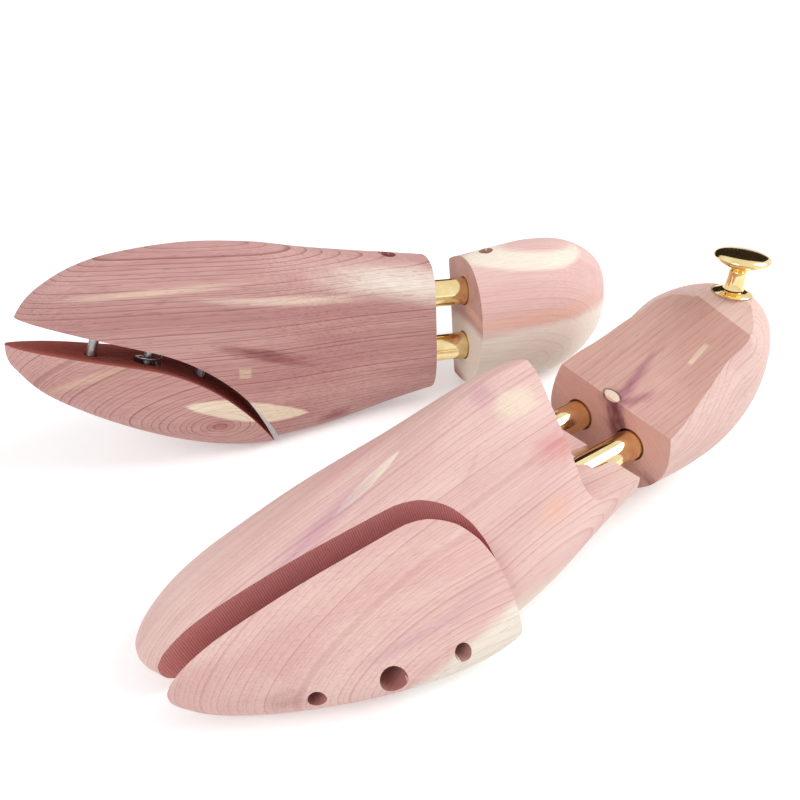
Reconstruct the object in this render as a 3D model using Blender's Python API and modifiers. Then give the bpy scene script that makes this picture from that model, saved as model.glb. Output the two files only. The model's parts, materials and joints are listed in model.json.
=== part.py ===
# A pair of cedar shoe trees with split toes, twin tubes and sprung heels.
# The left tree stands on its sole, the right one is its mirror image and lies on its outer side.
# Metres, +Z up. In a tree's own frame X runs from toe to heel, +Y is the inner side of the foot,
# X is 0 at the heel's front face and Z is 0 at the floor.
# The world's origin is the middle of the flat on the left tree's sole.

import math

import bmesh
import bpy
from mathutils import Matrix, Vector

MM = 0.001
GAP = 0.3 * MM  # left between pieces that touch

# Overall lengths of one tree
FOREPART_LENGTH = 178 * MM
HEEL_GAP = 19 * MM  # between forepart and heel, also the room for the spring's travel
HEEL_LENGTH = 91 * MM
HEEL_TRAVEL = 16 * MM

# The forepart's lines: distance from the toe's tip, then height or half width
SOLE_LINE = ((0, 11), (2, 8), (7, 4.5), (18, 1.5), (36, 0), (94, 0), (110, 2), (125, 5), (150, 9), (178, 10.5))
CREST_LINE = (
    (0, 12), (2, 15), (7, 20), (16, 26.5), (36, 34.5), (69, 45.5), (100, 57), (122, 66.5), (137, 71.5), (150, 73)
)
CREST_SIDE_LINE = ((0, 17), (12, 15), (36, 13), (69, 11), (100, 8), (123, 6), (150, 3.5), (178, 2))
INNER_LINE = (
    (0, 19), (3, 26), (7, 30.5), (14, 35.5), (25, 41), (40, 45), (70, 47.5), (96, 45.5), (121, 40.5), (178, 32)
)
OUTER_LINE = (  # below 0 the outer side still lies on the inner side of the axis
    (0, -15.5), (3, -10), (7, -3.5), (12, 2), (21, 9.5), (37, 20.5), (58, 32), (80, 40), (97, 43), (115, 43), (178, 33)
)
WIDEST_LINE = ((0, 11.5), (10, 12), (60, 14), (100, 17), (140, 26), (178, 29))
EDGE_RADIUS_LINE = ((0, 1), (10, 6), (40, 12), (80, 17), (115, 19), (178, 15))
OUTER_FULLNESS_LINE = ((0, 0.18), (40, 0.16), (90, 0.11), (130, 0.06), (178, 0.05))
INNER_FULLNESS_LINE = ((0, 0.16), (40, 0.14), (80, 0.15), (130, 0.13), (178, 0.12))
SOLE_FLAT_FROM_TOE = 77 * MM  # middle of the flat that the left tree stands on
SOLE_FLAT_SIDE = 18 * MM

# The saddle behind the instep
INSTEP_CUT_X = -47 * MM
INSTEP_CUT_LEAN = 3 * MM
SADDLE_ABOVE_TUBES = 7.5 * MM  # its floor over the tubes' axes at the foot of the wall
SADDLE_REAR_ABOVE_TUBES = 4.7 * MM  # the same at the rear end, where the bores come out open
SADDLE_FILLET = 9 * MM
CHANNEL_LENGTH = 11 * MM  # where the bores are open above, at the rear end
CHANNEL_INSET = 0.4 * MM  # the opening's walls stand this far inside the bore's

# The heel's lines: distance from its back end, then height or half width
HEEL_TOP_LINE = (
    (0, 49), (3, 58), (7, 63.3), (12, 66), (18, 66.8), (25, 65.3), (31, 64), (38, 66), (46, 68.5), (56, 70), (91, 70)
)
HEEL_BOTTOM_LINE = ((0, 49), (3, 40), (10, 29), (20, 18.5), (30, 10.5), (42, 4), (57, 1), (75, 0))
HEEL_WIDTH_LINE = ((0, 0), (3, 12.5), (10, 21), (20, 27.5), (30, 31.5), (43, 34), (57, 35), (72, 34), (91, 31.2))
HEEL_WIDEST_LINE = ((0, 49), (20, 40), (50, 30), (91, 26))
HEEL_SIDE_LINE = ((0, 1), (35, 1), (55, 0.5), (74, -0.5), (91, -1.2))  # middle of the heel
HEEL_LOWER_POWER = 2.0
HEEL_POWER_LINE = ((0, 2.2), (15, 2.5), (31, 3), (38, 2.2), (51, 1.54), (71, 1.44), (91, 1.75))  # of the arch above
FACET_FRONT_HEIGHT = 40.2 * MM
FACET_SLOPE = math.radians(20.3)
FACET_SIDE_SLOPE = math.radians(6.6)  # lower on the outer side

# Tubes and what they hold
TUBE_HEIGHT = 24 * MM
TUBE_SPACING = 27 * MM
TUBE_RADIUS = 6.5 * MM
TUBE_WALL = 0.8 * MM
TUBE_END_PAST_PIN = 7 * MM
FORE_BORE_CLEARANCE = 0.3 * MM
HEEL_BORE_CLEARANCE = 0.7 * MM
HEEL_BORE_DEPTH = 40 * MM
CROSS_PIN_RADIUS = 2 * MM
FORE_PIN_X = -38 * MM
HEEL_PIN_X = 11.6 * MM
CROSS_PIN_HALF_LENGTH = 22 * MM
FORE_ACCESS_RADIUS = 4.2 * MM
HEEL_ACCESS_RADIUS = 3.5 * MM
SLOT_CLEARANCE = 0.4 * MM
SEAT_LENGTH = 4 * MM
PLUG_LENGTH = 4 * MM
INSIDE_CLEARANCE = 0.25 * MM
TUBE_SPRING_WIRE = 0.55 * MM
TUBE_SPRING_TURNS = 7

# Split toe
SAW_KERF = 1.2 * MM
SPLIT_PIN_HEIGHT = 14.9 * MM
SPLIT_PIN_CLIMB = 0.12  # rise of the row of pins towards the heel
GUIDE_PIN_RADIUS = 2 * MM
GUIDE_PIN_SPACING = 22.5 * MM  # from the bolt to each pin
GUIDE_PIN_SEAT = 14 * MM
GUIDE_PIN_REACH = 13 * MM  # into the outer half, past the open kerf
GUIDE_HOLE_RADIUS = 2.8 * MM
BOLT_RADIUS = 2 * MM
BOLT_HEAD_RADIUS = 3.6 * MM
BOLT_HEAD_HEIGHT = 3.5 * MM
BOLT_HOLE_RADIUS = 4.3 * MM
WASHER_THICKNESS = 0.8 * MM
SPRING_POCKET_RADIUS = 6.2 * MM
SPRING_POCKET_DEPTH = 8 * MM
WEB_THICKNESS = 6 * MM  # wood between the spring's pocket and the bolt's head
INSERT_RADIUS = 3.6 * MM
INSERT_LENGTH = 8 * MM
SPLIT_SPRING_WIRE = 0.6 * MM
SPLIT_SPRING_RADIUS = 4.8 * MM
SPLIT_SPRING_TURNS = 6

# Knob
KNOB_FROM_BACK = 16.5 * MM
KNOB_SIDE = -1 * MM
KNOB_SEAT_HEIGHT = 65.2 * MM
KNOB_TILT = math.radians(4)
KNOB_RADIUS = 12 * MM
KNOB_HEIGHT = 19 * MM
KNOB_STEM_RADIUS = 3.7 * MM
FLANGE_RADIUS = 8.6 * MM
FLANGE_HEIGHT = 2.2 * MM
STUD_RADIUS = 2.2 * MM
STUD_CLEARANCE = 0.3 * MM
STUD_IN_KNOB = 8 * MM
STUD_IN_HEEL = 20 * MM

# Each tree: side of the foot, the saw's path and how its outer half stands
LEFT = {
    "prefix": "left_",
    "side": 1,
    "kerf_bend": (-116.5 * MM, -5.2 * MM),
    "kerf_heading": math.radians(-10.8),
    "kerf_radius": 29 * MM,
    "kerf_turn": math.radians(83),
    "bolt_from_bend": -16 * MM,
    "opening": 8.3 * MM,
    "tilt": math.radians(1.5),
    "split_travel": 7.5 * MM,
}
RIGHT = {
    "prefix": "right_",
    "side": -1,
    "kerf_bend": (-146.5 * MM, 5.5 * MM),
    "kerf_heading": math.radians(-19.5),
    "kerf_radius": 84 * MM,
    "kerf_turn": math.radians(49),
    "bolt_from_bend": 0.5 * MM,
    "opening": 3.4 * MM,
    "tilt": math.radians(4),
    "split_travel": 2.5 * MM,
}
RIGHT_PLACE = (2 * MM, 92 * MM)  # its heel's front face, in the left tree's frame
RIGHT_YAW = math.radians(-19.6)
RIGHT_ROLL = math.radians(-104)

# Mesh fineness
FORE_STATIONS = 30
FORE_STATION_POWER = 1.5
RING_STEPS = 3
HEEL_STATIONS = 18
HEEL_STATION_POWER = 1.6
HEEL_RING = 32
TUBE_SIDES = 20
PIN_SIDES = 12
KERF_STEPS = 15
COIL_POINTS = 8
KNOB_STEPS = 24

# Colours: base colour, roughness, metallic
FINISHES = {
    "cedar": ((0.72, 0.42, 0.36, 1), 0.6, 0.0),
    "brass": ((0.85, 0.62, 0.25, 1), 0.15, 1.0),
    "steel": ((0.55, 0.55, 0.56, 1), 0.3, 1.0),
    "nylon": ((0.8, 0.8, 0.76, 1), 0.5, 0.0),
}


# How an outline is laid before it is drawn out: along Z, or along -Y with its own Y up
UPRIGHT = Matrix.Identity(4)
ACROSS = Matrix.Rotation(math.radians(90), 4, "X")


def clear_scene():
    for obj in list(bpy.data.objects):
        bpy.data.objects.remove(obj, do_unlink=True)


def new_collection(name):
    group = bpy.data.collections.new(name)
    bpy.context.scene.collection.children.link(group)
    return group


def make_finish(name):
    colour, roughness, metallic = FINISHES[name]
    finish = bpy.data.materials.new(name)
    finish.use_nodes = True
    shader = finish.node_tree.nodes["Principled BSDF"]
    shader.inputs["Base Color"].default_value = colour
    shader.inputs["Roughness"].default_value = roughness
    shader.inputs["Metallic"].default_value = metallic
    return finish


def smooth_line(points, distance):
    # Value of a line at a distance in metres: a monotone cubic over the root of the distance,
    # so that a line that starts at the tip starts round.
    place = math.sqrt(max(distance, 0) / MM)
    xs = [math.sqrt(x) for x, _ in points]
    ys = [y * MM for _, y in points]
    if place >= xs[-1]:
        return ys[-1]
    slopes = [(ys[i + 1] - ys[i]) / (xs[i + 1] - xs[i]) for i in range(len(xs) - 1)]
    tangents = [slopes[0]]
    for before, after in zip(slopes, slopes[1:]):
        steady = before * after > 0
        tangents.append(2 * before * after / (before + after) if steady else 0)
    tangents.append(slopes[-1])
    i = max(k for k in range(len(xs) - 1) if xs[k] <= place)
    span = xs[i + 1] - xs[i]
    t = (place - xs[i]) / span
    return (
        ys[i] * (1 + 2 * t) * (1 - t) ** 2
        + tangents[i] * span * t * (1 - t) ** 2
        + ys[i + 1] * t * t * (3 - 2 * t)
        + tangents[i + 1] * span * t * t * (t - 1)
    )


def closed_curve(points, steps):
    # A smooth closed ring through the points.
    ring = []
    for i in range(len(points)):
        a, b, c, d = (Vector(points[(i + k) % len(points)]) for k in (-1, 0, 1, 2))
        for k in range(steps):
            t = k / steps
            ring.append(
                0.5 * (2 * b + (c - a) * t + (2 * a - 5 * b + 4 * c - d) * t**2 + (3 * b - a - 3 * c + d) * t**3)
            )
    return ring


def flank(foot, crest, fullness, share):
    # A point on the bulged line from the widest place up to the crest.
    foot, crest = Vector(foot), Vector(crest)
    along = crest - foot
    outward = Vector((-along.y, along.x)) if foot.x < crest.x else Vector((along.y, -along.x))
    return foot + along * share + outward * fullness * 4 * share * (1 - share)


def fore_section(from_toe):
    # The closed section of the forepart in Y and Z, from the crest over the outer side and the sole.
    sole = smooth_line(SOLE_LINE, from_toe)
    crest = (smooth_line(CREST_SIDE_LINE, from_toe), smooth_line(CREST_LINE, from_toe))
    outer = -smooth_line(OUTER_LINE, from_toe)
    inner = smooth_line(INNER_LINE, from_toe)
    widest = smooth_line(WIDEST_LINE, from_toe)
    radius = smooth_line(EDGE_RADIUS_LINE, from_toe)
    radius = min(radius, (inner - outer) / 3)
    outer_full = smooth_line(OUTER_FULLNESS_LINE, from_toe) / MM
    inner_full = smooth_line(INNER_FULLNESS_LINE, from_toe) / MM
    corner = radius * (1 - math.cos(math.pi / 4))
    points = [
        crest,
        flank((outer, widest), crest, outer_full, 0.7),
        flank((outer, widest), crest, outer_full, 0.35),
        (outer, widest),
        (outer + corner, sole + corner),
        (outer + radius * 1.2, sole),
        ((outer + inner) / 2, sole),
        (inner - radius * 1.2, sole),
        (inner - corner, sole + corner),
        (inner, widest),
        flank((inner, widest), crest, inner_full, 0.35),
        flank((inner, widest), crest, inner_full, 0.7),
    ]
    return [(y, max(z, sole)) for y, z in closed_curve(points, RING_STEPS)]


def heel_section(from_back):
    # The closed section of the heel in Y and Z: a deep arch below, another one above.
    top = smooth_line(HEEL_TOP_LINE, from_back)
    bottom = smooth_line(HEEL_BOTTOM_LINE, from_back)
    half = smooth_line(HEEL_WIDTH_LINE, from_back)
    widest = smooth_line(HEEL_WIDEST_LINE, from_back)
    upper_power = smooth_line(HEEL_POWER_LINE, from_back) / MM
    centre = smooth_line(HEEL_SIDE_LINE, from_back)
    ring = []
    for i in range(HEEL_RING):
        angle = math.tau * i / HEEL_RING
        across, up = math.cos(angle), math.sin(angle)
        power = upper_power if up > 0 else HEEL_LOWER_POWER
        reach = (top - widest) if up > 0 else (widest - bottom)
        across_size = abs(across) ** (2 / power)
        up_size = abs(up) ** (2 / power)
        ring.append((centre + math.copysign(across_size, across) * half, widest + math.copysign(up_size, up) * reach))
    return ring


class Tree:
    # One tree's pieces and cutters, all given in the left tree's frame and mirrored for the right foot.

    def __init__(self, values, parts, cutters, finishes):
        self.values = values
        self.prefix = values["prefix"]
        self.side = values["side"]
        self.parts = parts
        self.cutters = cutters
        self.finishes = finishes
        self.root = self.empty("tree", (0, 0, 0), None)
        self.heel = self.empty("heel_slide", (0, 0, TUBE_HEIGHT), self.root)
        x, y = self.bolt_at_kerf()
        self.split = self.empty("split_slide", (x, y, SPLIT_PIN_HEIGHT), self.root)

    def mirrored(self, point):
        return Vector((point[0], point[1] * self.side, point[2]))

    def empty(self, name, place, parent):
        handle = bpy.data.objects.new(self.prefix + name, None)
        handle.empty_display_size = 10 * MM
        self.parts.objects.link(handle)
        handle.location = self.mirrored(place)
        handle.parent = parent
        return handle

    def heading(self):
        angle = self.values["kerf_heading"]
        return Vector((math.cos(angle), math.sin(angle)))

    def outward(self):
        # The way the outer half slides open, square to the straight part of the kerf.
        along = self.heading()
        return Vector((along.y, -along.x))

    def bolt_at_kerf(self):
        bend = Vector(self.values["kerf_bend"])
        return bend + self.heading() * self.values["bolt_from_bend"]

    def adopt(self, obj, parent, finish=None):
        # Hangs an object, made in the tree's frame, under one of the tree's empties.
        obj.name = self.prefix + obj.name
        if obj.data:
            obj.data.name = obj.name
        group = self.parts if finish else self.cutters
        group.objects.link(obj)
        obj.parent = parent
        if parent is not self.root and parent.type == "EMPTY":
            obj.location = -parent.location
        if finish:
            obj.data.materials.append(self.finishes[finish])
            bpy.context.view_layer.update()
        else:
            obj.display_type = "WIRE"
            obj.hide_render = True
        return obj

    def mesh(self, name, bm, parent, finish=None):
        if self.side < 0:
            bmesh.ops.scale(bm, vec=(1, -1, 1), verts=bm.verts)
            bmesh.ops.reverse_faces(bm, faces=bm.faces)
        mesh = bpy.data.meshes.new(name)
        bm.to_mesh(mesh)
        bm.free()
        mesh.shade_smooth()
        mesh.set_sharp_from_angle(angle=math.radians(35))
        return self.adopt(bpy.data.objects.new(name, mesh), parent, finish)

    def rod(self, name, radius, start, end, parent, finish=None, sides=PIN_SIDES):
        bm = bmesh.new()
        add_rod(bm, radius, start, end, sides)
        return self.mesh(name, bm, parent, finish)

    def loft(self, name, rings, tip, parent, finish=None):
        # Skins rings of points from a tip to an open end, which gets a flat face.
        bm = bmesh.new()
        point = bm.verts.new(tip)
        rows = [[bm.verts.new(v) for v in ring] for ring in rings]
        count = len(rows[0])
        for i in range(count):
            bm.faces.new((point, rows[0][i], rows[0][(i + 1) % count]))
        for a, b in zip(rows, rows[1:]):
            for i in range(count):
                k = (i + 1) % count
                bm.faces.new((a[i], b[i], b[k], a[k]))
        bm.faces.new(rows[-1])
        bmesh.ops.recalc_face_normals(bm, faces=bm.faces)
        return self.mesh(name, bm, parent, finish)

    def prism(self, name, outline, turn, low, high, parent):
        # A filled outline drawn out from low to high, upright or turned to lie across the tree.
        curve = bpy.data.curves.new(name, "CURVE")
        curve.dimensions = "2D"
        curve.fill_mode = "BOTH"
        curve.extrude = (high - low) / 2
        spline = curve.splines.new("POLY")
        spline.points.add(len(outline) - 1)
        spline.use_cyclic_u = True
        for target, (across, along) in zip(spline.points, outline):
            target.co = (across, along, 0, 1)
        outline_object = bpy.data.objects.new(name, curve)
        self.cutters.objects.link(outline_object)
        graph = bpy.context.evaluated_depsgraph_get()
        bm = bmesh.new()
        bm.from_mesh(outline_object.evaluated_get(graph).to_mesh())
        bpy.data.objects.remove(outline_object, do_unlink=True)
        bmesh.ops.remove_doubles(bm, verts=bm.verts, dist=0.001 * MM)
        bmesh.ops.transform(bm, matrix=turn @ Matrix.Translation((0, 0, (low + high) / 2)), verts=bm.verts)
        bmesh.ops.recalc_face_normals(bm, faces=bm.faces)
        return self.mesh(name, bm, parent)

    def cut(self, obj, cutter, operation="DIFFERENCE"):
        modifier = obj.modifiers.new(cutter.name, "BOOLEAN")
        modifier.operation = operation
        modifier.object = cutter
        return obj

    def turned(self, name, profile, place, axis, parent, finish, steps=KNOB_STEPS):
        # A profile of radius and height, from the top of its outer side down, turned about an axis.
        # A profile that starts off the axis is closed.
        mesh = bpy.data.meshes.new(name)
        points = [(radius, 0, height) for radius, height in profile]
        edges = [(i, i + 1) for i in range(len(points) - 1)]
        if profile[0][0] > 0:
            edges.append((len(points) - 1, 0))
        mesh.from_pydata(points, edges, [])
        obj = bpy.data.objects.new(name, mesh)
        screw = obj.modifiers.new("turn", "SCREW")
        screw.steps = steps
        screw.render_steps = steps
        screw.use_merge_vertices = True
        screw.merge_threshold = 0.00001
        screw.use_smooth_shade = True
        self.adopt(obj, parent, finish)
        turn = Vector((0, 0, 1)).rotation_difference(self.mirrored(axis))
        obj.rotation_euler = turn.to_euler()
        obj.location = obj.location + self.mirrored(place)
        return obj

    def coil(self, name, start, end, radius, wire, turns, parent):
        # A compression spring with one closed turn at each end.
        start, end = self.mirrored(start), self.mirrored(end)
        axis = (end - start).normalized()
        across = axis.orthogonal().normalized()
        upright = axis.cross(across)
        length = (end - start).length
        points = []
        count = turns * COIL_POINTS
        for i in range(count + 1):
            turn = i / COIL_POINTS
            angle = math.tau * turn
            rise = coil_rise(turn, turns, length, wire)
            points.append(start + axis * rise + (across * math.cos(angle) + upright * math.sin(angle)) * radius)
        print(self.prefix + name, "least gap to itself", round(coil_gap(points, wire) / MM, 2), "mm")
        curve = bpy.data.curves.new(name, "CURVE")
        curve.dimensions = "3D"
        curve.bevel_depth = wire
        curve.bevel_resolution = 1
        curve.use_fill_caps = True
        spline = curve.splines.new("POLY")
        spline.points.add(len(points) - 1)
        for target, point in zip(spline.points, points):
            target.co = (*point, 1)
        return self.adopt(bpy.data.objects.new(name, curve), parent, "steel")


def add_rod(bm, radius, start, end, sides):
    start, end = Vector(start), Vector(end)
    turn = Vector((0, 0, 1)).rotation_difference(end - start).to_matrix().to_4x4()
    made = bmesh.ops.create_cone(
        bm,
        cap_ends=True,
        segments=sides,
        radius1=radius,
        radius2=radius,
        depth=(end - start).length,
        matrix=Matrix.Translation((start + end) / 2) @ turn,
    )
    return made["verts"]


def coil_rise(turn, turns, length, wire):
    # Height along a spring: slow in the first and last turn, steady between.
    closed = 3.2 * wire
    if turn < 1:
        return closed * turn
    if turn > turns - 1:
        return length - closed * (turns - turn)
    return closed + (length - 2 * closed) * (turn - 1) / (turns - 2)


def coil_gap(points, wire):
    # Least distance between two stretches of wire a good part of a turn apart.
    nearest = min(
        (points[i] - points[k]).length
        for i in range(len(points))
        for k in range(i + COIL_POINTS // 2, len(points))
    )
    return nearest - 2 * wire


def toe_tip_x():
    return -HEEL_GAP - FOREPART_LENGTH


def make_forepart(tree, name, parent, finish):
    # The whole forepart as it is carved, before the saw splits it.
    rings = []
    for i in range(1, FORE_STATIONS + 1):
        from_toe = FOREPART_LENGTH * (i / FORE_STATIONS) ** FORE_STATION_POWER
        rings.append([(toe_tip_x() + from_toe, y, z) for y, z in fore_section(from_toe)])
    tip = (toe_tip_x(), smooth_line(CREST_SIDE_LINE, 0), smooth_line(WIDEST_LINE, 0))
    return tree.loft(name, rings, tip, parent, finish)


def kerf_region(tree, offset):
    # Plan outline of everything on the outer side of the saw's path, shifted by an offset.
    values = tree.values
    bend = Vector(values["kerf_bend"]) + tree.outward() * offset
    radius = values["kerf_radius"] - offset
    start_angle = values["kerf_heading"]
    centre = bend + tree.outward() * radius
    outline = [bend - tree.heading() * 130 * MM]
    steps = KERF_STEPS
    for i in range(steps + 1):
        angle = start_angle - values["kerf_turn"] * i / steps
        outline.append(centre + Vector((-math.sin(angle), math.cos(angle))) * radius)
    end_angle = start_angle - values["kerf_turn"]
    outline.append(outline[-1] + Vector((math.cos(end_angle), math.sin(end_angle))) * 60 * MM)
    outline.append(outline[0] + tree.outward() * 150 * MM)
    return outline


def kerf_cutter(tree, name, offset, parent):
    return tree.prism(name, kerf_region(tree, offset), UPRIGHT, -20 * MM, 120 * MM, parent)


def saddle_outline():
    # Side view of what is cut away behind the instep: a wall, a fillet and a floor that falls to the rear.
    top = 110 * MM
    rear = 10 * MM
    fillet = SADDLE_FILLET
    foot = INSTEP_CUT_X - INSTEP_CUT_LEAN
    floor = TUBE_HEIGHT + SADDLE_ABOVE_TUBES
    rear_floor = TUBE_HEIGHT + SADDLE_REAR_ABOVE_TUBES
    outline = [(INSTEP_CUT_X + INSTEP_CUT_LEAN, top)]
    steps = 6
    for i in range(steps + 1):
        angle = math.pi + math.pi / 2 * i / steps
        outline.append((foot + fillet + fillet * math.cos(angle), floor + fillet + fillet * math.sin(angle)))
    outline.append((-HEEL_GAP, rear_floor))
    outline.append((rear, rear_floor))
    outline.append((rear, top))
    return outline


def tube_sides():
    return {"medial_": TUBE_SPACING / 2, "lateral_": -TUBE_SPACING / 2}


def tube_front_x():
    return FORE_PIN_X - TUBE_END_PAST_PIN


def tube_rear_x():
    return HEEL_BORE_DEPTH - GAP


def make_fixed_forepart(tree):
    block = make_forepart(tree, "fixed_forepart", tree.root, "cedar")
    tree.cut(block, kerf_cutter(tree, "kerf_fixed_cut", 0, tree.root))
    reach = 70 * MM
    tree.cut(block, tree.prism("saddle_cut", saddle_outline(), ACROSS, -reach, reach, tree.root))
    bore = TUBE_RADIUS + FORE_BORE_CLEARANCE
    bore_front = tube_front_x() - HEEL_TRAVEL - 3 * MM
    for label, y in tube_sides().items():
        start = (bore_front, y, TUBE_HEIGHT)
        end = (HEEL_GAP, y, TUBE_HEIGHT)
        tree.cut(block, tree.rod(label + "fore_bore_cut", bore, start, end, tree.root, sides=TUBE_SIDES))
        half = bore - CHANNEL_INSET
        rear = -HEEL_GAP - CHANNEL_LENGTH
        front = 5 * MM
        channel = [(rear, y - half), (front, y - half), (front, y + half), (rear, y + half)]
        tree.cut(block, tree.prism(label + "channel_cut", channel, UPRIGHT, TUBE_HEIGHT + MM, 60 * MM, tree.root))
    cut_pin_seat(tree, block, "fore_", FORE_PIN_X, FORE_ACCESS_RADIUS, tree.root)
    out = tree.outward()
    for label, along in guide_pin_places().items():
        place = split_point(tree, along, 0)
        seat = place - out_3d(out) * (GUIDE_PIN_SEAT + GAP)
        start = place + out_3d(out) * 20 * MM
        radius = GUIDE_PIN_RADIUS + GAP
        tree.cut(block, tree.rod(label + "pin_seat_cut", radius, start, seat, tree.root))
    place = split_point(tree, 0, 0)
    pocket = place - out_3d(out) * SPRING_POCKET_DEPTH
    start = place + out_3d(out) * 10 * MM
    tree.cut(block, tree.rod("fixed_pocket_cut", SPRING_POCKET_RADIUS, start, pocket, tree.root, sides=TUBE_SIDES))
    insert_end = pocket - out_3d(out) * (INSERT_LENGTH + 2 * GAP)
    tree.cut(block, tree.rod("insert_cut", INSERT_RADIUS + GAP, start, insert_end, tree.root))
    return block


def cut_pin_seat(tree, block, label, x, access_radius, parent):
    # A cross pin's seat, and the wider hole on the inner side through which it is driven in.
    pin_end = CROSS_PIN_HALF_LENGTH + GAP
    radius = CROSS_PIN_RADIUS + GAP
    start = (x, -pin_end, TUBE_HEIGHT)
    end = (x, pin_end + 2 * MM, TUBE_HEIGHT)
    tree.cut(block, tree.rod(label + "pin_cut", radius, start, end, parent))
    start = (x, pin_end, TUBE_HEIGHT)
    end = (x, 60 * MM, TUBE_HEIGHT)
    tree.cut(block, tree.rod(label + "access_cut", access_radius, start, end, parent, sides=20))


def guide_pin_places():
    return {"front_": -GUIDE_PIN_SPACING, "rear_": GUIDE_PIN_SPACING}


def out_3d(flat):
    return Vector((flat.x, flat.y, 0))


def split_point(tree, along, out):
    # A point on the pins' row: along the kerf from the bolt, and out from the kerf's fixed face.
    flat = tree.bolt_at_kerf() + tree.heading() * along + tree.outward() * out
    return Vector((flat.x, flat.y, SPLIT_PIN_HEIGHT + SPLIT_PIN_CLIMB * along))


def make_split_forepart(tree):
    values = tree.values
    half = make_forepart(tree, "split_forepart", tree.split, "cedar")
    region = kerf_cutter(tree, "kerf_split_keep", SAW_KERF, half)
    half_turn = Matrix.Rotation(values["tilt"] * tree.side, 4, "Z")
    pivot = tree.mirrored((*kerf_end(tree), 0))
    shift = tree.mirrored(out_3d(tree.outward()) * (values["opening"] - SAW_KERF))
    placed = Matrix.Translation(shift) @ Matrix.Translation(pivot) @ half_turn @ Matrix.Translation(-pivot)
    half.matrix_local = Matrix.Translation(-tree.split.location) @ placed
    tree.cut(half, region, "INTERSECT")
    out = out_3d(tree.outward())
    depth = 80 * MM
    for label, along in guide_pin_places().items():
        start = split_point(tree, along, -12 * MM)
        hole = tree.rod(label + "guide_cut", GUIDE_HOLE_RADIUS, start, start + out * depth, tree.split, sides=20)
        tree.cut(half, hole)
    face = bolt_face(tree)
    start = face - out * 6 * MM
    pocket = face + out * SPRING_POCKET_DEPTH
    tree.cut(half, tree.rod("split_pocket_cut", SPRING_POCKET_RADIUS, start, pocket, tree.split, sides=TUBE_SIDES))
    shank = BOLT_RADIUS + 2 * GAP
    tree.cut(half, tree.rod("shank_cut", shank, start, start + out * depth, tree.split))
    shoulder = pocket + out * WEB_THICKNESS
    head_hole = tree.rod("bolt_head_cut", BOLT_HOLE_RADIUS, shoulder, shoulder + out * depth, tree.split, sides=20)
    tree.cut(half, head_hole)
    return half


def kerf_end(tree):
    # Where the saw's path leaves the outer side, the place on which a tilted half turns.
    outline = kerf_region(tree, 0)
    return outline[-3]


def bolt_face(tree):
    # Where the bolt's axis meets the kerf face of the outer half as it stands open.
    tilt = tree.values["tilt"]
    end = kerf_end(tree)
    arm = (end - tree.bolt_at_kerf()).dot(tree.heading())
    return split_point(tree, 0, tree.values["opening"] + arm * math.tan(tilt))


def make_heel_block(tree):
    rings = []
    for i in range(1, HEEL_STATIONS + 1):
        from_back = HEEL_LENGTH * (i / HEEL_STATIONS) ** HEEL_STATION_POWER
        rings.append([(HEEL_LENGTH - from_back, y, z) for y, z in heel_section(from_back)])
    tip = (HEEL_LENGTH, smooth_line(HEEL_SIDE_LINE, 0), smooth_line(HEEL_TOP_LINE, 0))
    block = tree.loft("heel_block", rings, tip, tree.heel, "cedar")
    cut_facet(tree, block)
    bore = TUBE_RADIUS + HEEL_BORE_CLEARANCE
    for label, y in tube_sides().items():
        start = (-5 * MM, y, TUBE_HEIGHT)
        end = (HEEL_BORE_DEPTH, y, TUBE_HEIGHT)
        tree.cut(block, tree.rod(label + "heel_bore_cut", bore, start, end, tree.heel, sides=TUBE_SIDES))
    cut_pin_seat(tree, block, "heel_", HEEL_PIN_X, HEEL_ACCESS_RADIUS, tree.heel)
    seat, axis = knob_seat()
    start, end = seat, seat + axis * 20 * MM
    tree.cut(block, tree.rod("flange_seat_cut", FLANGE_RADIUS + GAP, start, end, tree.heel, sides=KNOB_STEPS))
    start, end = seat + axis * MM, seat - axis * (STUD_IN_HEEL + GAP)
    tree.cut(block, tree.rod("stud_cut", STUD_RADIUS + STUD_CLEARANCE, start, end, tree.heel))
    return block


def cut_facet(tree, block):
    # The plane sawn off the heel's top, sloping up to the back and a little down to the outer side.
    size = 200 * MM
    normal = Vector((-math.tan(FACET_SLOPE), -math.tan(FACET_SIDE_SLOPE), 1)).normalized()
    turn = Vector((0, 0, 1)).rotation_difference(normal).to_matrix().to_4x4()
    centre = Vector((0, 0, FACET_FRONT_HEIGHT)) + normal * size / 2
    bm = bmesh.new()
    bmesh.ops.create_cube(bm, size=size, matrix=Matrix.Translation(centre) @ turn)
    tree.cut(block, tree.mesh("facet_cut", bm, tree.heel))


def knob_seat():
    axis = Vector((math.sin(KNOB_TILT), 0, math.cos(KNOB_TILT)))
    return Vector((HEEL_LENGTH - KNOB_FROM_BACK, KNOB_SIDE, KNOB_SEAT_HEIGHT)), axis


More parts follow.
